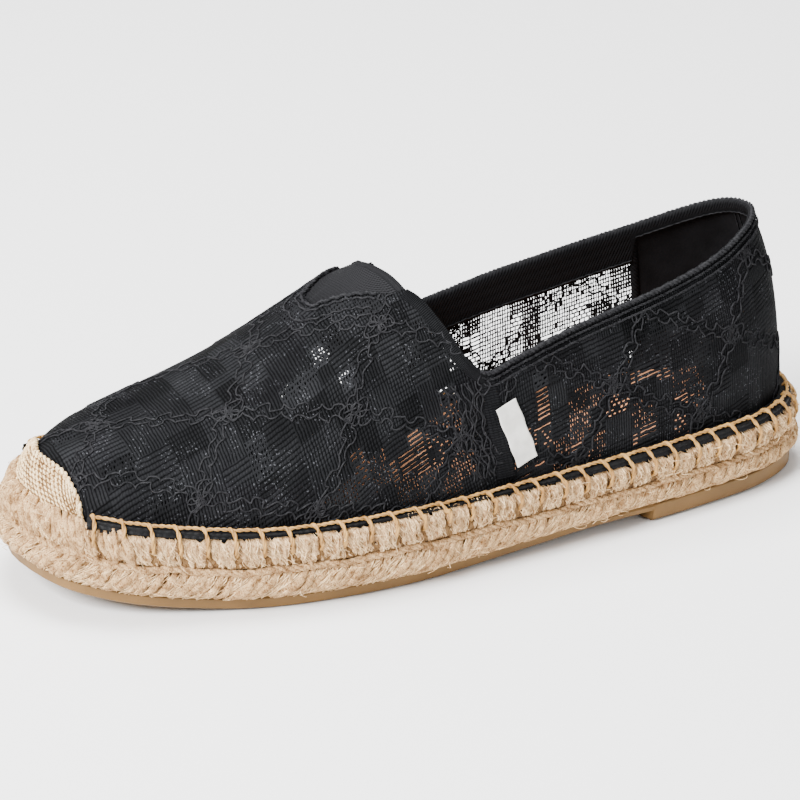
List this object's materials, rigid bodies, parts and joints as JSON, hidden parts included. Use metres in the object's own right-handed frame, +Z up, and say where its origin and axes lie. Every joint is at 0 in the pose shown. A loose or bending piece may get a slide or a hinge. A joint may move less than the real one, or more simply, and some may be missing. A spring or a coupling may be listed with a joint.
{
  "type": "espadrille flat shoe",
  "caption": "Left slip-on espadrille flat: hollow lace upper with an elastic gore at the throat, on a jute rope sole with a jute toe cap and rubber underside.",
  "frame": {"origin": "on the floor, under the centre of the shoe's bounding box", "axes": "+Z up, -Y towards the toe, +X towards the outer side of the foot"},
  "size_m": [0.09, 0.255, 0.0834],
  "materials": {
    "gum_rubber": "matt gum rubber",
    "jute_rope": "natural jute rope",
    "jute_cap": "natural jute cord",
    "insole_suede": "tan suede footbed",
    "lace_black": "black corded lace",
    "elastic_black": "ribbed black elastic",
    "tape_black": "black woven tape",
    "label_white": "plain woven white tape"
  },
  "bodies": {
    "root": {"outsole": "gum_rubber", "heel_lift": "gum_rubber", "jute_sole_lower": "jute_rope", "jute_sole_upper": "jute_rope", "insole": "insole_suede", "rand": "tape_black", "upper": "lace_black", "elastic_gore": "elastic_black", "collar_binding": "tape_black", "toe_cap": "jute_cap", "side_label": "label_white"}
  },
  "joints": []
}
